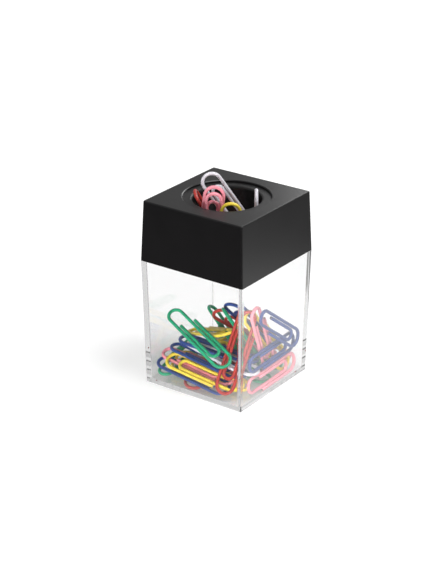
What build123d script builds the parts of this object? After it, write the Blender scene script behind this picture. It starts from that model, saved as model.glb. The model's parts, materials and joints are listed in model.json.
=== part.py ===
from build123d import *
import os
from math import atan, cos, degrees, pi, radians, sin

import numpy as np

# Magnetic paper clip holder: a clear square container of loose wire clips under a black cap.
# A magnet rings the cap's round throat and holds a few clips upright there, ready to take.
# Millimetres, +Z up, origin at the middle of the underside, front face towards -Y.

# Outside of the holder
HEIGHT = 72.4
CAP_HEIGHT = 23.1
BASE_WIDTH = 43.1
JOINT_WIDTH = 45.0
TOP_WIDTH = 43.2
JOINT_Z = HEIGHT - CAP_HEIGHT

# Container
WALL = 1.75
FLOOR = 1.8
OUTER_CORNER = 0.6
STORE_CORNER = 0.6
BASE_EDGE = 0.3
NECK_CORNER = 0.75
NECK_INSET = 0.95
NECK_HEIGHT = 5.0
NECK_GAP = 0.15

# Cap and its round seat
CAP_WALL = 1.9
CAP_TOP = 3.0
HOLLOW_CORNER = 0.8
CAP_EDGE = 0.45
SEAT_RADIUS = 16.15
SEAT_DEPTH = 0.87
SEAT_EDGE = 0.25
SLEEVE_HOLE = 14.2

# Sleeve, magnet and retainer, stacked under the cap's top
FLANGE_THICK = 1.1
FLANGE_GAP = 0.05
BORE_RADIUS = 12.6
BORE_LIP = 0.7
LIP_STEPS = 2
LEAD_IN = 0.5
SLEEVE_WALL = 1.4
BEAD = 0.3
BEAD_HEIGHT = 1.0
MAGNET_GAP = 0.15
MAGNET_RADIUS = 18.4
MAGNET_HEIGHT = 8.0
RETAINER_GAP = 0.1
RETAINER_RADIUS = 17.4
RETAINER_THICK = 2.2
LEDGE_Z = HEIGHT - SEAT_DEPTH
MAGNET_TOP = HEIGHT - CAP_TOP
RETAINER_TOP = MAGNET_TOP - MAGNET_HEIGHT
BEAD_TOP = RETAINER_TOP - RETAINER_THICK
SLEEVE_BOTTOM = BEAD_TOP - BEAD_HEIGHT
SLEEVE_RADIUS = BORE_RADIUS + SLEEVE_WALL

# One wire clip: three bends in a flat wire, the outer and inner loops nested at the double end
CLIP_LENGTH = 32.0
WIRE = 1.25
WIRE_SIDES = 6
BEND_STEPS = 4
OUTER_SPAN = 6.8
WIRE_PITCH = 1.4
INNER_SETBACK = 5.6
OUTER_END = -7.0
INNER_END = -8.5

# Clips held in the throat: across and depth from the middle of the bore, height of the upper end, lean
# of that end to the left in degrees, and how the clip stands. The throat's own directions are turned.
THROAT_TURN = 36.0
FACING, EDGE_ON, UPSIDE_DOWN = "facing", "edge on", "upside down"
HELD_CLIPS = {
    "held_white_clip_1": (-7.7, 4.0, 79.4, 34.0, FACING),
    "held_white_clip_2": (10.5, -1.5, 75.5, 0.0, EDGE_ON),
    "held_pink_clip_1": (-4.2, -5.8, 78.5, -7.0, FACING),
    "held_pink_clip_2": (-5.5, -7.4, 76.6, 0.0, UPSIDE_DOWN),
    "held_red_clip": (-11.9, -0.9, 75.0, 28.0, EDGE_ON),
    "held_yellow_clip": (0.9, -9.0, 73.4, 5.0, FACING),
}

# Loose clips as they drop into the heap: middle of the clip, heading and rise of its double end, and lean
LOOSE_CLIPS = {
    "yellow_clip_1": ((0.8, -15.8, 6.8), 180, 9, -21),
    "yellow_clip_2": ((-0.2, -4.0, 20.2), -33, 12, 8),
    "yellow_clip_3": ((-0.6, -9.8, 5.0), 175, 2, -5),
    "yellow_clip_4": ((13.6, 6.2, 15.4), 97, -54, 90),
    "yellow_clip_5": ((-10.0, 2.0, 4.2), 70, 2, 3),
    "navy_clip_1": ((-3.4, -15.0, 4.9), 0, -4, 13),
    "navy_clip_2": ((-0.6, -9.4, 9.8), 0, -9, 8),
    "navy_clip_3": ((1.4, -6.2, 17.6), 180, 6, 0),
    "navy_clip_4": ((8.4, 4.4, 19.6), -118, 58, 35),
    "navy_clip_5": ((17.7, 1.2, 14.2), 90, -4, -90),
    "navy_clip_6": ((19.0, 4.4, 23.1), 90, -39, -90),
    "green_clip_1": ((-16.0, -5.0, 7.0), 90, 20, 0),
    "green_clip_2": ((1.6, -11.8, 23.2), -24, -23, 6),
    "green_clip_3": ((2.0, 6.6, 2.6), -20, 0, 0),
    "green_clip_4": ((0.2, 3.0, 13.6), -4, -46, -20),
    "green_clip_5": ((9.0, 0.4, 16.4), -109, 64, -16),
    "green_clip_6": ((1.0, 14.0, 5.0), -16, -2, 4),
    "green_clip_7": ((-12.0, 6.0, 2.6), 84, 0, 0),
    "red_clip_1": ((-0.6, -3.6, 2.6), -95, 0, 2),
    "red_clip_2": ((2.0, 9.0, 14.0), -115, 42, 50),
    "red_clip_3": ((13.2, -11.8, 17.6), -94, -64, -8),
    "red_clip_4": ((-9.0, 12.0, 3.6), 20, 0, 2),
    "pink_clip_1": ((-3.4, -12.0, 7.3), 0, -8, 21),
    "pink_clip_2": ((19.0, 1.5, 6.0), 90, -2, -90),
    "pink_clip_3": ((16.5, -2.2, 21.6), 94, -62, 90),
    "pink_clip_4": ((9.0, 11.0, 6.0), 60, -12, 0),
    "white_clip_1": ((3.8, -7.6, 12.8), -8, -13, 2),
    "white_clip_2": ((-3.0, 15.4, 4.4), 3, 2, -8),
}

# How the heap settles: clear air left between wires and at the walls, fall per round, rounds, and rounds
# without a fall. Then the share of a push that is taken, the least skew (a sine) at which two wires part
# at right angles to both, the arm that a push turns a clip by, and a size that counts as none.
AIR_GAP = 0.10
WALL_GAP = 0.06
FALL = 0.03
ROUNDS = 260
STILL_ROUNDS = 120
PUSH = 1.2
SKEW = 0.3
TURN_ARM = 9.5
TINY = 1e-9


def container_width(z):
    """Outside width of the container at a height."""
    return BASE_WIDTH + (JOINT_WIDTH - BASE_WIDTH) * z / JOINT_Z


def cap_width(z):
    """Outside width of the cap at a height."""
    return JOINT_WIDTH + (TOP_WIDTH - JOINT_WIDTH) * (z - JOINT_Z) / CAP_HEIGHT


def block(low_width, high_width, low_z, high_z, corner):
    """Square block with drafted sides and rounded upright corners, made from its wide end."""
    height = high_z - low_z
    wide = max(low_width, high_width)
    draft = degrees(atan(abs(low_width - high_width) / 2 / height))
    body = extrude(Rectangle(wide, wide), height, taper=draft)
    body = fillet(body.edges().filter_by(Plane.XY, reverse=True), corner)
    if high_width > low_width:
        return Pos(0, 0, high_z) * Rot(180, 0, 0) * body
    return Pos(0, 0, low_z) * body


def disc(radius, low_z, high_z):
    """Upright cylinder between two heights."""
    return Pos(0, 0, low_z) * Cylinder(radius, high_z - low_z, align=(Align.CENTER, Align.CENTER, Align.MIN))


def ring(inner, outer, low_z, high_z):
    """Upright ring between two heights."""
    return disc(outer, low_z, high_z) - disc(inner, low_z, high_z)


def container():
    """Clear box with an inset neck that the cap's skirt slips over."""
    neck_top = JOINT_Z + NECK_HEIGHT
    neck_width = JOINT_WIDTH - 2 * NECK_INSET
    store_low = container_width(FLOOR) - 2 * WALL
    store_high = container_width(neck_top) - 2 * WALL
    body = block(BASE_WIDTH, JOINT_WIDTH, 0, JOINT_Z, OUTER_CORNER)
    body = chamfer(body.edges().group_by(Axis.Z)[0], BASE_EDGE)
    neck = block(neck_width, neck_width, JOINT_Z, neck_top, NECK_CORNER)
    return body + neck - block(store_low, store_high, FLOOR, neck_top, STORE_CORNER)


def cap_shell():
    """Black cap: hollow below, with a round stepped seat for the sleeve in its top."""
    hollow_low = cap_width(JOINT_Z) - 2 * CAP_WALL
    hollow_high = cap_width(MAGNET_TOP) - 2 * CAP_WALL
    relief_width = JOINT_WIDTH - 2 * NECK_INSET + 2 * NECK_GAP
    relief_top = JOINT_Z + NECK_HEIGHT + NECK_GAP
    body = block(JOINT_WIDTH, TOP_WIDTH, JOINT_Z, HEIGHT, OUTER_CORNER)
    body = fillet(body.edges().group_by(Axis.Z)[-1], CAP_EDGE)
    body -= block(hollow_low, hollow_high, JOINT_Z, MAGNET_TOP, HOLLOW_CORNER)
    body -= block(relief_width, relief_width, JOINT_Z, relief_top, NECK_CORNER)
    body -= disc(SEAT_RADIUS, LEDGE_Z - FLANGE_THICK, HEIGHT)
    body -= disc(SLEEVE_HOLE, MAGNET_TOP, HEIGHT)
    circles = body.edges().filter_by(GeomType.CIRCLE)
    rim = circles.filter_by(lambda edge: edge.radius == SEAT_RADIUS).sort_by(Axis.Z)[-1]
    return chamfer(rim, SEAT_EDGE)


def magnet_sleeve():
    """Flanged sleeve: its flange is the ledge of the throat, and a snap bead ends it below."""
    flange_radius = SEAT_RADIUS - FLANGE_GAP
    flange_low = LEDGE_Z - FLANGE_THICK
    turns = [radians(90) * step / LIP_STEPS for step in range(LIP_STEPS + 1)]
    lip = [(BORE_RADIUS + BORE_LIP * (1 - sin(a)), LEDGE_Z - BORE_LIP * (1 - cos(a))) for a in turns]
    profile = Polyline(
        (BORE_RADIUS, SLEEVE_BOTTOM + LEAD_IN),
        (BORE_RADIUS + LEAD_IN, SLEEVE_BOTTOM),
        (SLEEVE_RADIUS, SLEEVE_BOTTOM),
        (SLEEVE_RADIUS + BEAD, SLEEVE_BOTTOM + BEAD_HEIGHT - BEAD),
        (SLEEVE_RADIUS + BEAD, BEAD_TOP),
        (SLEEVE_RADIUS, BEAD_TOP),
        (SLEEVE_RADIUS, flange_low),
        (flange_radius, flange_low),
        (flange_radius, LEDGE_Z),
        *lip,
        close=True,
    )
    return revolve(Plane.XZ * make_face(profile), Axis.Z)


def ring_magnet():
    """Ferrite ring round the sleeve, tight under the cap's top."""
    return ring(SLEEVE_RADIUS + MAGNET_GAP, MAGNET_RADIUS, RETAINER_TOP, MAGNET_TOP)


def magnet_retainer():
    """Ring snapped over the sleeve's bead, which keeps the magnet up."""
    return ring(SLEEVE_RADIUS + RETAINER_GAP, RETAINER_RADIUS, BEAD_TOP, RETAINER_TOP)


def bend(middle, radius, start):
    """Points of a half turn, clockwise from a start angle in degrees."""
    angles = [radians(start) - pi * step / BEND_STEPS for step in range(BEND_STEPS + 1)]
    return [(middle[0] + radius * cos(a), middle[1] + radius * sin(a), 0.0) for a in angles]


def clip_route():
    """Centre line of a clip, flat in XY, its length along X with the double end at +X."""
    reach = (CLIP_LENGTH - WIRE) / 2
    outer = OUTER_SPAN / 2
    middle = outer - WIRE_PITCH / 2
    inner = outer - WIRE_PITCH
    route = [(OUTER_END, outer, 0.0)]
    route += bend((reach - outer, 0.0), outer, 90)
    route += bend((middle - reach, middle - outer), middle, -90)
    route += bend((reach - INNER_SETBACK - inner, 0.0), inner, 90)
    return route + [(INNER_END, -inner, 0.0)]


def wire_clip(route):
    """Coated wire swept along the route, faceted because there are many clips."""
    path = Polyline(*route)
    start = Plane(origin=path @ 0, x_dir=(0, 0, 1), z_dir=path % 0)
    return sweep(start * RegularPolygon(WIRE / 2, WIRE_SIDES), path=path, transition=Transition.RIGHT)


def loose_pose(middle, heading, rise, lean):
    """Middle of a clip and its three directions: along, across and out of its plane."""
    turn, climb, roll = radians(heading), radians(rise), radians(lean)
    along = np.array([cos(turn) * cos(climb), sin(turn) * cos(climb), sin(climb)])
    level = np.array([-sin(turn), cos(turn), 0.0])
    across = level * cos(roll) + np.cross(along, level) * sin(roll)
    return np.array(middle), np.stack([along, across, np.cross(along, across)], axis=1)


def held_pose(across, depth, top, lean, stance):
    """Pose of a clip in the throat, from where its upper end stands."""
    turn, tilt = radians(THROAT_TURN), radians(lean)
    right = np.array([cos(turn), sin(turn), 0.0])
    back = np.array([-sin(turn), cos(turn), 0.0])
    rising = np.array([0.0, 0.0, cos(tilt)]) - right * sin(tilt)
    tip = right * across + back * depth + np.array([0.0, 0.0, top])
    along = -rising if stance == UPSIDE_DOWN else rising
    side = back if stance == EDGE_ON else np.cross(back, along)
    return tip - rising * CLIP_LENGTH / 2, np.stack([along, side, np.cross(along, side)], axis=1)


def nearest(p, d, q, e):
    """Nearest points of every piece of one wire, from p along d, to every piece of another."""
    apart = p[:, None] - q[None]
    dd = np.sum(d * d, axis=1)[:, None]
    ee = np.sum(e * e, axis=1)[None]
    de = d @ e.T
    dr = np.sum(d[:, None] * apart, axis=2)
    er = np.sum(e[None] * apart, axis=2)
    s = np.clip((de * er - dr * ee) / np.maximum(dd * ee - de * de, TINY), 0, 1)
    t = np.clip((de * s + er) / ee, 0, 1)
    s = np.clip((de * t - dr) / dd, 0, 1)
    return p[:, None] + d[:, None] * s[..., None], q[None] + e[None] * t[..., None]


def turned(directions, twist):
    """Directions of a clip after a small turn given as an axis times an angle."""
    angle = np.linalg.norm(twist)
    if angle == 0:
        return directions
    x, y, z = twist / angle
    cross = np.array([[0, -z, y], [z, 0, -x], [-y, x, 0]])
    return directions + (sin(angle) * cross + (1 - cos(angle)) * cross @ cross) @ directions


def clip_pushes(first, second, middles):
    """Where two clips come too close: points and moves that part them, each to the side its middle is on."""
    d, e = np.diff(first, axis=0), np.diff(second, axis=0)
    on_first, on_second = nearest(first[:-1], d, second[:-1], e)
    gaps = on_first - on_second
    sizes = np.linalg.norm(gaps, axis=2)
    room = WIRE + AIR_GAP
    pushes = []
    for i, j in zip(*np.nonzero(sizes < room)):
        way = np.cross(d[i], e[j])
        size = np.linalg.norm(way)
        if size > SKEW * np.linalg.norm(d[i]) * np.linalg.norm(e[j]):
            way = way / size * np.copysign(1.0, way @ middles)
        else:
            way = gaps[i, j] / sizes[i, j]
        pushes.append((on_first[i, j], on_second[i, j], way * (room - gaps[i, j] @ way) / 2))
    return pushes


def wall_pushes(points):
    """Moves that bring a clip back inside the container's walls and above its floor."""
    pushes = []
    clear = WIRE / 2 + WALL_GAP
    for point in points:
        move = np.zeros(3)
        limit = container_width(point[2]) / 2 - WALL - clear
        move[:2] = np.clip(point[:2], -limit, limit) - point[:2]
        move[2] = max(FLOOR + clear - point[2], 0.0)
        if np.any(move):
            pushes.append((point, move))
    return pushes


def settle(poses, route):
    """Let the clips fall and push one another apart until the heap lies still."""
    names = list(poses)
    flat = np.array(route)
    for step in range(ROUNDS):
        wires = {name: poses[name][0] + flat @ poses[name][1].T for name in names}
        pushes = {name: wall_pushes(wires[name]) for name in names}
        for i, first in enumerate(names):
            for second in names[i + 1 :]:
                apart = np.maximum(
                    wires[first].min(axis=0) - wires[second].max(axis=0),
                    wires[second].min(axis=0) - wires[first].max(axis=0),
                )
                if apart.max() > WIRE + AIR_GAP:
                    continue
                offset = poses[first][0] - poses[second][0]
                for here, there, move in clip_pushes(wires[first], wires[second], offset):
                    pushes[first].append((here, move))
                    pushes[second].append((there, -move))
        for name in names:
            middle, directions = poses[name]
            if pushes[name]:
                shift = np.mean([move for point, move in pushes[name]], axis=0)
                twist = np.mean([np.cross(point - middle, move) for point, move in pushes[name]], axis=0)
                poses[name] = middle + PUSH * shift, turned(directions, PUSH * twist / TURN_ARM**2)
            elif step < ROUNDS - STILL_ROUNDS:
                poses[name] = middle - np.array([0.0, 0.0, FALL]), directions
    return poses


def placed(clip, middle, directions):
    """A clip set at its pose."""
    plane = Plane(origin=tuple(middle), x_dir=tuple(directions[:, 0]), z_dir=tuple(directions[:, 2]))
    return plane.location * clip


def main():
    route = clip_route()
    clip = wire_clip(route)
    pieces = {
        "container": container(),
        "cap_shell": cap_shell(),
        "magnet_sleeve": magnet_sleeve(),
        "ring_magnet": ring_magnet(),
        "magnet_retainer": magnet_retainer(),
    }
    for name, stand in HELD_CLIPS.items():
        pieces[name] = placed(clip, *held_pose(*stand))
    loose = {name: loose_pose(*lie) for name, lie in LOOSE_CLIPS.items()}
    for name, pose in settle(loose, route).items():
        pieces[name] = placed(clip, *pose)
    os.makedirs("parts", exist_ok=True)
    for name, piece in pieces.items():
        export_step(piece, f"parts/{name}.step")


main()
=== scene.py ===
import json
from math import cos, pi, radians, sin

import bpy
import numpy as np
from mathutils import Matrix, Vector


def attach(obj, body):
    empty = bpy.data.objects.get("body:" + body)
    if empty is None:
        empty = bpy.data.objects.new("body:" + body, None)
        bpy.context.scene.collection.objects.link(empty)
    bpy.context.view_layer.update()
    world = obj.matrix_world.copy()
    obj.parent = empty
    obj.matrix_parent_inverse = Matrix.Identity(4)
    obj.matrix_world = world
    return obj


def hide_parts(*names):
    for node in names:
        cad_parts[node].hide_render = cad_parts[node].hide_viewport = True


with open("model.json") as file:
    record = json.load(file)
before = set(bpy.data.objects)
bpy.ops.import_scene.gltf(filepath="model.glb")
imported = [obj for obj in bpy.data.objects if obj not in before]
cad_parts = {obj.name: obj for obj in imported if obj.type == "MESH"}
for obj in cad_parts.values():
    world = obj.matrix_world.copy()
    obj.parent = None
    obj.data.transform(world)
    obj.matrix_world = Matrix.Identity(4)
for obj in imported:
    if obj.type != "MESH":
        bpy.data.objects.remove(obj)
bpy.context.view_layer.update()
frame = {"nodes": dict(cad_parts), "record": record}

# Magnetic paper clip holder: a clear box of coated wire clips under a black cap with a magnet in it.
MM = 0.001

# The wire clip, in millimetres, as the CAD clips are bent
CLIP_LENGTH = 32.0
WIRE = 1.25
OUTER_SPAN = 6.8
WIRE_PITCH = 1.4
INNER_SETBACK = 5.6
OUTER_END = -7.0
INNER_END = -8.5
CAD_BEND_STEPS = 4

# The smooth clip that replaces it: steps of a bend, sides of the wire, rounding of a cut end in millimetres,
# where its rings lie, the steel core as a share of the wire, and decimals at which CAD corners count as one
BEND_STEPS = 18
WIRE_SIDES = 14
CUT_EDGE = 0.14
CUT_SHARES = (0.0, 0.3, 1.0)
STEEL_CORE = 0.74
CORNER_PLACES = 7

# Vinyl coats: colours, then millimetres across deep or pale patches and across the skin's ripple, the
# ripple's height and strength, shades and lift of deep and pale, their span in the pattern, and roughness
COATS = {
    "yellow": "ffe04a",
    "navy": "24448a",
    "green": "18a474",
    "red": "b63830",
    "pink": "f79aa8",
    "white": "e9e6ee",
}
COAT_PATCH = 3.0
COAT_SKIN = 0.5
COAT_RELIEF = 0.05
COAT_BUMP = 0.12
COAT_SHADES = (0.86, 1.06)
COAT_LIFTS = (0.0, 0.004)
COAT_SPAN = (0.3, 0.7)
COAT_GLOSS = (0.24, 0.38)
COAT_IOR = 1.53

# Sheared steel: colour, millimetres across torn patches, roughness
STEEL = "a9a8a6"
STEEL_TEAR = 0.2
STEEL_GLOSS = (0.3, 0.55)

# Clear polystyrene: colour, colour of light passing through, millimetres across rub marks, the part of the
# pattern that is rubbed, roughness
CLEAR = "fcfcfc"
CLEAR_SHADOW = "fafafa"
CLEAR_RUB = 9.0
CLEAR_RUBBED = (0.5, 0.8)
CLEAR_GLOSS = (0.0, 0.04)
CLEAR_IOR = 1.59

# Black mouldings: colours and roughness, then millimetres across clouds and across the mould's grain, the
# grain's height and strength, and how far shade and roughness wander. The real grain is finer than the view
# can show, so it is drawn this coarse.
CAP_BLACK = "0e0d0e"
CAP_ROUGHNESS = 0.4
SLEEVE_BLACK = "100f10"
SLEEVE_ROUGHNESS = 0.45
NYLON_BLACK = "1c1b1c"
NYLON_ROUGHNESS = 0.55
MOULD_CLOUD = 11.0
MOULD_GRAIN = 0.35
MOULD_RELIEF = 0.03
MOULD_BUMP = 0.15
MOULD_SHADES = (0.8, 1.25)
MOULD_WANDER = 0.06
MOULD_IOR = 1.53

# Ferrite: dark and light speckle, millimetres across a speck, metal share and roughness
FERRITE_TONES = ("26262a", "4c4c52")
FERRITE_SPECK = 0.6
FERRITE_METAL = 0.3
FERRITE_ROUGHNESS = 0.55

# The photograph's view: azimuth and elevation in degrees, the rest in millimetres
VIEW_AZIMUTH = 35.82
VIEW_ELEVATION = 24.04
VIEW_DISTANCE = 625.8
VIEW_TARGET = (-3.79, -2.79, 37.05)
FOCAL_LENGTH = 107.2
SENSOR = 36.0

# White sheet under the holder: size and drop in millimetres, its tone, and the lift that makes it white to
# the eye. Through clear plastic the lift is low under the box, a painted shadow, and rises between two
# distances from there.
SHEET_SIZE = 4000.0
SHEET_DROP = 0.1
SHEET_TONE = 0.75
SHEET_LIFT = 0.455
UNDER_EDGES = (20.0, 45.0)
UNDER_PAINTED_SHADE_LIFT = 0.12
THROUGH_LIFT = 0.46

# What gloss mirrors of the sheet: a painted pool of light to the right that fades outwards, a painted
# reflection. In front it is painted darker, for gloss and for the clear walls. Middle and edges are in
# millimetres.
POOL_MIDDLE = (45.0, 25.0, 0.0)
POOL_EDGES = (40.0, 115.0)
PAINTED_POOL_LIGHT = (1.7, 0.25)
FRONT_EDGES = (-36.0, -22.0)
FRONT_PAINTED_LEVEL = 0.3

# Rays through clear plastic with fewer crossings or more turns than this count as coming out of a wall, and
# see the sheet as a painted glow at this level, painted darker in front. Light may bounce this often.
WALL_CROSSINGS = 2.5
WALL_TURNS = 0.5
WALL_PAINTED_GLOW = 0.78
CLEAR_BOUNCES = 24

# Room light on the object and in its gloss, and what rays that turned inside clear plastic see of it
AMBIENT = 0.5
GUIDED_ROOM = 0.74

# Lamps: the direction that the key comes from, places and sizes in millimetres, spreads in degrees
KEY_FROM = (38.0, 7.0, 72.0)
KEY_SPREAD = 32.0
KEY_STRENGTH = 2.0
FILL_PLACE = (40.0, -150.0, 25.0)
FILL_AIM = (-4.0, 0.0, 16.0)
FILL_SIZE = 110.0
FILL_SPREAD = 45.0
FILL_WATTS = 0.055
SHEEN_PLACE = (-15.0, 165.0, 130.0)
SHEEN_AIM = (8.0, 8.0, 72.0)
SHEEN_SIZE = 90.0
SHEEN_WATTS = 0.12


def linear(code):
    """Linear colour of an sRGB hex code."""
    shares = [int(code[i : i + 2], 16) / 255 for i in (0, 2, 4)]
    return (*[s / 12.92 if s <= 0.04045 else ((s + 0.055) / 1.055) ** 2.4 for s in shares], 1.0)


def shaded(colour, factor, lift=0.0):
    """A colour made darker or lighter by a factor, and paler by a lift."""
    return (*[min(1.0, c * factor + lift) for c in colour[:3]], 1.0)


def add(tree, kind, links=None, **settings):
    """A shader node with its settings. A link is an input's name or place, and a socket or value for it."""
    node = tree.nodes.new("ShaderNode" + kind)
    for name, value in settings.items():
        setattr(node, name, value)
    for name, value in (links or {}).items():
        if isinstance(value, bpy.types.NodeSocket):
            tree.links.new(value, node.inputs[name])
        else:
            node.inputs[name].default_value = value
    return node


def new_material(name):
    """An empty node material and its tree."""
    material = bpy.data.materials.new(name)
    material.use_nodes = True
    material.node_tree.nodes.clear()
    return material, material.node_tree


def coated_wire(name, code):
    """Steel wire drawn through a coloured vinyl coat: a smooth gloss, deeper or paler here and there."""
    material, tree = new_material(name)
    place = add(tree, "TexCoord").outputs["Object"]
    patch = add(tree, "TexNoise", {"Vector": place, "Scale": 1 / (COAT_PATCH * MM), "Detail": 3.0})
    shade = add(tree, "ValToRGB", {"Fac": patch.outputs["Fac"]})
    ends = zip(shade.color_ramp.elements, COAT_SPAN, COAT_SHADES, COAT_LIFTS)
    for element, position, factor, lift in ends:
        element.position = position
        element.color = shaded(linear(code), factor, lift)
    gloss = add(
        tree,
        "MapRange",
        {"Value": patch.outputs["Fac"], "To Min": COAT_GLOSS[0], "To Max": COAT_GLOSS[1]},
    )
    skin = add(tree, "TexNoise", {"Vector": place, "Scale": 1 / (COAT_SKIN * MM), "Detail": 2.0})
    bump = add(
        tree,
        "Bump",
        {"Height": skin.outputs["Fac"], "Strength": COAT_BUMP, "Distance": COAT_RELIEF * MM},
    )
    shader = add(
        tree,
        "BsdfPrincipled",
        {
            "Base Color": shade.outputs["Color"],
            "Roughness": gloss.outputs["Result"],
            "Normal": bump.outputs["Normal"],
            "IOR": COAT_IOR,
        },
    )
    add(tree, "OutputMaterial", {"Surface": shader.outputs["BSDF"]})
    return material


def cut_steel():
    """Sheared low-carbon steel in the middle of a cut wire end: dull grey, and rougher where it tore."""
    material, tree = new_material("sheared_steel")
    place = add(tree, "TexCoord").outputs["Object"]
    tear = add(tree, "TexNoise", {"Vector": place, "Scale": 1 / (STEEL_TEAR * MM), "Detail": 2.0})
    gloss = add(
        tree,
        "MapRange",
        {"Value": tear.outputs["Fac"], "To Min": STEEL_GLOSS[0], "To Max": STEEL_GLOSS[1]},
    )
    shader = add(
        tree,
        "BsdfPrincipled",
        {"Base Color": linear(STEEL), "Metallic": 1.0, "Roughness": gloss.outputs["Result"]},
    )
    add(tree, "OutputMaterial", {"Surface": shader.outputs["BSDF"]})
    return material


def clear_polystyrene():
    """Crystal polystyrene from a polished mould: water clear, bright reflections, faint rub marks."""
    material, tree = new_material("polished_crystal_polystyrene")
    place = add(tree, "TexCoord").outputs["Object"]
    rub = add(
        tree,
        "TexNoise",
        {"Vector": place, "Scale": 1 / (CLEAR_RUB * MM), "Detail": 5.0, "Roughness": 0.7},
    )
    gloss = add(
        tree,
        "MapRange",
        {
            "Value": rub.outputs["Fac"],
            "From Min": CLEAR_RUBBED[0],
            "From Max": CLEAR_RUBBED[1],
            "To Min": CLEAR_GLOSS[0],
            "To Max": CLEAR_GLOSS[1],
        },
    )
    glass = add(
        tree,
        "BsdfPrincipled",
        {
            "Base Color": linear(CLEAR),
            "Roughness": gloss.outputs["Result"],
            "IOR": CLEAR_IOR,
            "Transmission Weight": 1.0,
        },
    )
    # Lamp light and scattered light pass straight through, so the clips are lit and the shadow is pale
    path = add(tree, "LightPath")
    passing = add(
        tree,
        "Math",
        {0: path.outputs["Is Shadow Ray"], 1: path.outputs["Is Diffuse Ray"]},
        operation="MAXIMUM",
    )
    light_through = add(tree, "BsdfTransparent", {"Color": linear(CLEAR_SHADOW)})
    surface = add(
        tree,
        "MixShader",
        {0: passing.outputs[0], 1: glass.outputs["BSDF"], 2: light_through.outputs["BSDF"]},
    )
    add(tree, "OutputMaterial", {"Surface": surface.outputs[0]})
    return material


def satin_moulding(name, code, roughness):
    """Black plastic from a spark-eroded mould: a fine even satin that greys where it catches the light."""
    material, tree = new_material(name)
    place = add(tree, "TexCoord").outputs["Object"]
    cloud = add(tree, "TexNoise", {"Vector": place, "Scale": 1 / (MOULD_CLOUD * MM), "Detail": 4.0})
    gloss = add(
        tree,
        "MapRange",
        {
            "Value": cloud.outputs["Fac"],
            "To Min": roughness - MOULD_WANDER,
            "To Max": roughness + MOULD_WANDER,
        },
    )
    grain = add(tree, "TexNoise", {"Vector": place, "Scale": 1 / (MOULD_GRAIN * MM), "Detail": 2.0})
    bump = add(
        tree,
        "Bump",
        {"Height": grain.outputs["Fac"], "Strength": MOULD_BUMP, "Distance": MOULD_RELIEF * MM},
    )
    shade = add(tree, "ValToRGB", {"Fac": cloud.outputs["Fac"]})
    for element, factor in zip(shade.color_ramp.elements, MOULD_SHADES):
        element.color = shaded(linear(code), factor)
    shader = add(
        tree,
        "BsdfPrincipled",
        {
            "Base Color": shade.outputs["Color"],
            "Roughness": gloss.outputs["Result"],
            "Normal": bump.outputs["Normal"],
            "IOR": MOULD_IOR,
        },
    )
    add(tree, "OutputMaterial", {"Surface": shader.outputs["BSDF"]})
    return material


def ground_ferrite():
    """Sintered ferrite, ground on its faces: charcoal grey, dry, with a fine speckle."""
    material, tree = new_material("ground_ferrite")
    place = add(tree, "TexCoord").outputs["Object"]
    speck = add(tree, "TexNoise", {"Vector": place, "Scale": 1 / (FERRITE_SPECK * MM), "Detail": 3.0})
    shade = add(tree, "ValToRGB", {"Fac": speck.outputs["Fac"]})
    for element, code in zip(shade.color_ramp.elements, FERRITE_TONES):
        element.color = linear(code)
    shader = add(
        tree,
        "BsdfPrincipled",
        {
            "Base Color": shade.outputs["Color"],
            "Metallic": FERRITE_METAL,
            "Roughness": FERRITE_ROUGHNESS,
        },
    )
    add(tree, "OutputMaterial", {"Surface": shader.outputs["BSDF"]})
    return material


def half_turn(middle, radius, start, steps):
    """Points of a half turn and the direction of travel there, clockwise from a start angle in degrees."""
    angles = [radians(start) - pi * step / steps for step in range(steps + 1)]
    points = [(middle[0] + radius * cos(a), middle[1] + radius * sin(a)) for a in angles]
    return list(zip(points, [(sin(a), -cos(a)) for a in angles]))


def clip_route(steps):
    """Centre line of a clip in millimetres, flat, with the direction of travel at each point."""
    reach = (CLIP_LENGTH - WIRE) / 2
    outer = OUTER_SPAN / 2
    middle = outer - WIRE_PITCH / 2
    inner = outer - WIRE_PITCH
    route = [((OUTER_END, outer), (1.0, 0.0))]
    route += half_turn((reach - outer, 0.0), outer, 90, steps)
    route += half_turn((middle - reach, middle - outer), middle, -90, steps)
    route += half_turn((reach - INNER_SETBACK - inner, 0.0), inner, 90, steps)
    return route + [((INNER_END, -inner), (-1.0, 0.0))]


def cut_end(end, way, inwards):
    """Rings of a cut end from its face inwards along the wire, slightly rounded over."""
    rings = []
    for share in CUT_SHARES:
        place = (end[0] + inwards * way[0] * CUT_EDGE * share, end[1])
        rings.append((place, way, WIRE / 2 - CUT_EDGE * (1 - share) ** 2))
    return rings


def rings_of(route):
    """Rings along the wire as middle, direction and radius, with the core's ring on both end faces."""
    first = cut_end(*route[0], 1)
    last = cut_end(*route[-1], -1)[::-1]
    between = [(point, way, WIRE / 2) for point, way in route[1:-1]]
    core = WIRE / 2 * STEEL_CORE
    return [(*first[0][:2], core), *first, *between, *last, (*last[-1][:2], core)]


def wire_mesh(route):
    """Mesh of one clip in metres: a round wire along the route. Its last two faces are the steel cores."""
    rings = rings_of(route)
    points, faces = [], []
    for (x, y), (along_x, along_y), size in rings:
        for side in range(WIRE_SIDES):
            turn = 2 * pi * side / WIRE_SIDES
            across = size * cos(turn)
            points.append(((x - along_y * across) * MM, (y + along_x * across) * MM, size * sin(turn) * MM))
    for ring in range(len(rings) - 1):
        for side in range(WIRE_SIDES):
            here = ring * WIRE_SIDES + side
            beside = ring * WIRE_SIDES + (side + 1) % WIRE_SIDES
            faces.append((here, beside, beside + WIRE_SIDES, here + WIRE_SIDES))
    last = (len(rings) - 1) * WIRE_SIDES
    faces.append(tuple(reversed(range(WIRE_SIDES))))
    faces.append(tuple(range(last, last + WIRE_SIDES)))
    mesh = bpy.data.meshes.new("wire_clip")
    mesh.from_pydata(points, [], faces)
    for face in mesh.polygons[:-2]:
        face.use_smooth = True
    for face in mesh.polygons[-2:]:
        face.material_index = 1
    mesh.update()
    return mesh


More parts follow.
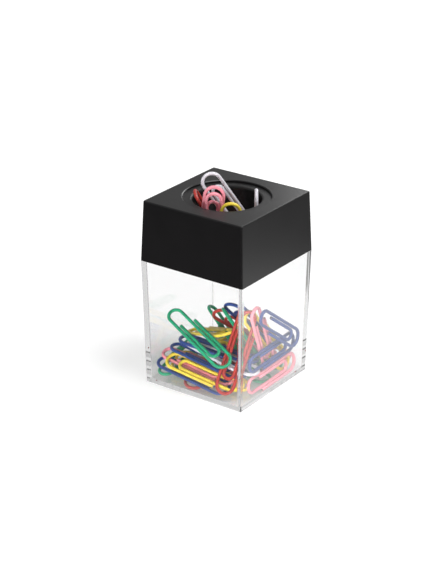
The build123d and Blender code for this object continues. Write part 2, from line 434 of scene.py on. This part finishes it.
def main_directions(points):
    """Middle of some points, and their three main directions, longest first."""
    middle = points.mean(axis=0)
    spread = (points - middle).T @ (points - middle)
    return middle, np.linalg.eigh(spread)[1][:, ::-1]


def clip_pose(node, route):
    """Matrix that lays the drawn route along a CAD clip: of the four ways round, the one that fits best."""
    corners = np.array([v.co for v in frame["nodes"][node].data.vertices])
    corners = np.unique(corners.round(CORNER_PLACES), axis=0)
    there, there_ways = main_directions(corners)
    line = np.array([(*point, 0.0) for point, way in route]) * MM
    here, here_ways = main_directions(line)
    best = None
    for first in (1, -1):
        for second in (1, -1):
            turn = there_ways @ np.diag([first, second, 1]) @ here_ways.T
            if np.linalg.det(turn) < 0:
                turn = there_ways @ np.diag([first, second, -1]) @ here_ways.T
            laid = (line - here) @ turn.T + there
            miss = np.linalg.norm(corners[:, None] - laid[None], axis=2).min(axis=1).mean()
            if best is None or miss < best[0]:
                best = miss, turn
    pose = Matrix(best[1].tolist()).to_4x4()
    pose.translation = Vector(there - best[1] @ here)
    return pose


def lay_clips():
    """A smooth clip in place of every CAD clip, on the same body."""
    mesh = wire_mesh(clip_route(BEND_STEPS))
    cad_route = clip_route(CAD_BEND_STEPS)
    steel = cut_steel()
    coats = {name: coated_wire(f"{name}_vinyl_coated_wire", code) for name, code in COATS.items()}
    for body, nodes in frame["record"]["behaviour"]["bodies"].items():
        for node in nodes:
            if "_clip" not in node:
                continue
            colour = node.replace("held_", "").split("_")[0]
            clip = bpy.data.objects.new(node + "_wire", mesh.copy())
            clip.data.transform(clip_pose(node, cad_route))
            bpy.context.scene.collection.objects.link(clip)
            clip.data.materials.append(coats[colour])
            clip.data.materials.append(steel)
            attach(clip, body)
            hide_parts(node)


def finish_mouldings():
    """Finishes of the box, the cap and what is inside it."""
    finishes = {
        "container": clear_polystyrene(),
        "cap_shell": satin_moulding("satin_moulded_abs", CAP_BLACK, CAP_ROUGHNESS),
        "magnet_sleeve": satin_moulding("satin_moulded_abs_sleeve", SLEEVE_BLACK, SLEEVE_ROUGHNESS),
        "magnet_retainer": satin_moulding("moulded_nylon", NYLON_BLACK, NYLON_ROUGHNESS),
        "ring_magnet": ground_ferrite(),
    }
    for node, material in finishes.items():
        data = frame["nodes"][node].data
        data.materials.clear()
        data.materials.append(material)


def mirrored_rays(tree, path):
    """One for rays that a surface mirrored, and no more than zero for all others."""
    rays = {0: path.outputs["Is Glossy Ray"], 1: path.outputs["Is Transmission Ray"]}
    return add(tree, "Math", rays, operation="SUBTRACT").outputs[0]


def guided_rays(tree, path):
    """One for rays that were mirrored on their way, as they are inside a clear wall."""
    turns = {0: path.outputs["Glossy Depth"], 1: WALL_TURNS}
    return add(tree, "Math", turns, operation="GREATER_THAN").outputs[0]


def card_seen(tree, path, place):
    """The card as the eye and clear plastic see it: lit paper with its shadow, lifted to white, and through
    clear plastic lifted less under the box, a painted shadow.
    """
    near = add(tree, "VectorMath", {0: place}, operation="LENGTH")
    # Painted shadow under the box: a lower lift there, as clear plastic sees it
    under = add(
        tree,
        "MapRange",
        {
            "Value": near.outputs["Value"],
            "From Min": UNDER_EDGES[0] * MM,
            "From Max": UNDER_EDGES[1] * MM,
            "To Min": UNDER_PAINTED_SHADE_LIFT,
            "To Max": THROUGH_LIFT,
        },
        interpolation_type="SMOOTHSTEP",
    )
    open_lift = add(tree, "Math", {0: path.outputs["Is Camera Ray"], 1: SHEET_LIFT}, operation="MULTIPLY")
    lift = add(
        tree,
        "MapRange",
        {
            "Value": path.outputs["Is Transmission Ray"],
            "To Min": open_lift.outputs[0],
            "To Max": under.outputs["Result"],
        },
    )
    paper = add(tree, "BsdfDiffuse", {"Color": (SHEET_TONE, SHEET_TONE, SHEET_TONE, 1.0)})
    glow = add(tree, "Emission", {"Strength": lift.outputs["Result"]})
    return add(tree, "AddShader", {0: paper.outputs["BSDF"], 1: glow.outputs["Emission"]}).outputs[0]


def card_painted_front_shade(tree, place):
    """Painted shade: how much of the card's painted light is left towards the front."""
    front = add(
        tree,
        "MapRange",
        {
            "Value": add(tree, "SeparateXYZ", {0: place}).outputs["Y"],
            "From Min": FRONT_EDGES[0] * MM,
            "From Max": FRONT_EDGES[1] * MM,
            "To Min": FRONT_PAINTED_LEVEL,
            "To Max": 1.0,
        },
        interpolation_type="SMOOTHSTEP",
    )
    return front.outputs["Result"]


def card_painted_reflection(tree, place, front):
    """The card as gloss mirrors it: a painted pool of light to one side, a painted reflection."""
    away = add(tree, "VectorMath", {0: place, 1: [v * MM for v in POOL_MIDDLE]}, operation="DISTANCE")
    pool = add(
        tree,
        "MapRange",
        {
            "Value": away.outputs["Value"],
            "From Min": POOL_EDGES[0] * MM,
            "From Max": POOL_EDGES[1] * MM,
            "To Min": PAINTED_POOL_LIGHT[0],
            "To Max": PAINTED_POOL_LIGHT[1],
        },
        interpolation_type="SMOOTHSTEP",
    )
    # Painted reflection: the pool of light, painted darker towards the front
    gloss = add(tree, "Math", {0: pool.outputs["Result"], 1: front}, operation="MULTIPLY")
    return add(tree, "Emission", {"Strength": gloss.outputs[0]}).outputs["Emission"]


def rays_in_walls(tree, path):
    """One for rays that come out of a clear wall after few crossings, or after being mirrored in it."""
    crossings = {0: path.outputs["Transmission Depth"], 1: WALL_CROSSINGS}
    shallow = add(tree, "Math", crossings, operation="LESS_THAN")
    turned = add(tree, "Math", {0: shallow.outputs[0], 1: guided_rays(tree, path)}, operation="MAXIMUM")
    inside = {0: turned.outputs[0], 1: path.outputs["Is Transmission Ray"]}
    return add(tree, "Math", inside, operation="MULTIPLY").outputs[0]


def white_card():
    """Matt white card in a studio: white to the eye, with a soft shadow, and unseen from below, and with
    painted light: a pool for gloss, a glow for clear walls, a shadow under the box.
    """
    material, tree = new_material("white_card")
    path = add(tree, "LightPath")
    geometry = add(tree, "NewGeometry")
    place = geometry.outputs["Position"]
    front = card_painted_front_shade(tree, place)
    seen = card_seen(tree, path, place)
    # Painted reflection of a pool of light on the sheet, for gloss
    painted_reflection = card_painted_reflection(tree, place, front)
    surface = add(tree, "MixShader", {0: mirrored_rays(tree, path), 1: seen, 2: painted_reflection})
    # Painted light: the sheet glows at a set level for rays out of the clear walls, darker in front
    painted_edge_glow = add(tree, "Math", {0: front, 1: WALL_PAINTED_GLOW}, operation="MULTIPLY")
    in_walls = add(tree, "Emission", {"Strength": painted_edge_glow.outputs[0]})
    surface = add(
        tree,
        "MixShader",
        {0: rays_in_walls(tree, path), 1: surface.outputs[0], 2: in_walls.outputs["Emission"]},
    )
    below = {0: geometry.outputs["Backfacing"], 1: path.outputs["Is Camera Ray"]}
    hidden = add(tree, "Math", below, operation="MULTIPLY")
    nothing = add(tree, "BsdfTransparent")
    surface = add(
        tree, "MixShader", {0: hidden.outputs[0], 1: surface.outputs[0], 2: nothing.outputs["BSDF"]}
    )
    add(tree, "OutputMaterial", {"Surface": surface.outputs[0]})
    return material


def white_sheet():
    """The sheet that the holder stands on."""
    half = SHEET_SIZE / 2 * MM
    drop = -SHEET_DROP * MM
    mesh = bpy.data.meshes.new("sheet")
    corners = [(-half, -half, drop), (half, -half, drop), (half, half, drop), (-half, half, drop)]
    mesh.from_pydata(corners, [], [(0, 1, 2, 3)])
    mesh.materials.append(white_card())
    sheet = bpy.data.objects.new("sheet", mesh)
    bpy.context.scene.collection.objects.link(sheet)


def white_room():
    """Even light from all round, which the eye and clear plastic see as white, and gloss as grey."""
    world = bpy.data.worlds.new("room")
    bpy.context.scene.world = world
    world.use_nodes = True
    tree = world.node_tree
    tree.nodes.clear()
    path = add(tree, "LightPath")
    seen = add(
        tree,
        "Math",
        {0: path.outputs["Is Camera Ray"], 1: path.outputs["Is Transmission Ray"]},
        operation="MAXIMUM",
    )
    clear = add(tree, "MapRange", {"Value": guided_rays(tree, path), "To Min": 1.0, "To Max": GUIDED_ROOM})
    level = add(
        tree,
        "MapRange",
        {"Value": seen.outputs[0], "To Min": AMBIENT, "To Max": clear.outputs["Result"]},
    )
    sky = add(tree, "Background", {"Strength": level.outputs["Result"]})
    add(tree, "OutputWorld", {"Surface": sky.outputs["Background"]})


def key_light():
    """Broad soft lamp far off to the right, high up. Clear plastic doesn't show its disc."""
    lamp = bpy.data.lights.new("key", "SUN")
    lamp.angle = radians(KEY_SPREAD)
    lamp.energy = KEY_STRENGTH
    key = bpy.data.objects.new("key", lamp)
    bpy.context.scene.collection.objects.link(key)
    key.rotation_euler = (-Vector(KEY_FROM)).to_track_quat("-Z", "Y").to_euler()
    key.visible_transmission = False


def panel_light(name, place, aim, size, watts):
    """Small soft panel close by, out of sight."""
    lamp = bpy.data.lights.new(name, "AREA")
    lamp.size = size * MM
    lamp.energy = watts
    panel = bpy.data.objects.new(name, lamp)
    bpy.context.scene.collection.objects.link(panel)
    panel.location = Vector(place) * MM
    panel.rotation_euler = (Vector(aim) - Vector(place)).to_track_quat("-Z", "Y").to_euler()
    panel.visible_camera = False
    panel.visible_transmission = False
    return panel


def panel_lights():
    """A sheen in gloss alone for the right half of the cap's top, and a fill for the clips, not in gloss."""
    sheen = panel_light("sheen", SHEEN_PLACE, SHEEN_AIM, SHEEN_SIZE, SHEEN_WATTS)
    sheen.visible_diffuse = False
    fill = panel_light("fill", FILL_PLACE, FILL_AIM, FILL_SIZE, FILL_WATTS)
    fill.data.spread = radians(FILL_SPREAD)
    fill.visible_glossy = False


def photograph_view():
    """Camera at the photograph's angle."""
    data = bpy.data.cameras.new("view")
    data.lens = FOCAL_LENGTH
    data.sensor_width = SENSOR
    camera = bpy.data.objects.new("view", data)
    bpy.context.scene.collection.objects.link(camera)
    turn, rise = radians(VIEW_AZIMUTH), radians(VIEW_ELEVATION)
    back = Vector((sin(turn) * cos(rise), -cos(turn) * cos(rise), sin(rise)))
    camera.location = (Vector(VIEW_TARGET) + back * VIEW_DISTANCE) * MM
    camera.rotation_euler = (-back).to_track_quat("-Z", "Y").to_euler()
    bpy.context.scene.camera = camera


lay_clips()
finish_mouldings()
white_sheet()
white_room()
key_light()
panel_lights()
photograph_view()
bpy.context.scene.view_settings.view_transform = "Standard"
# Light runs on inside the clear walls to their far edges
bpy.context.scene.cycles.max_bounces = CLEAR_BOUNCES
bpy.context.scene.cycles.glossy_bounces = CLEAR_BOUNCES
bpy.context.scene.cycles.transmission_bounces = CLEAR_BOUNCES
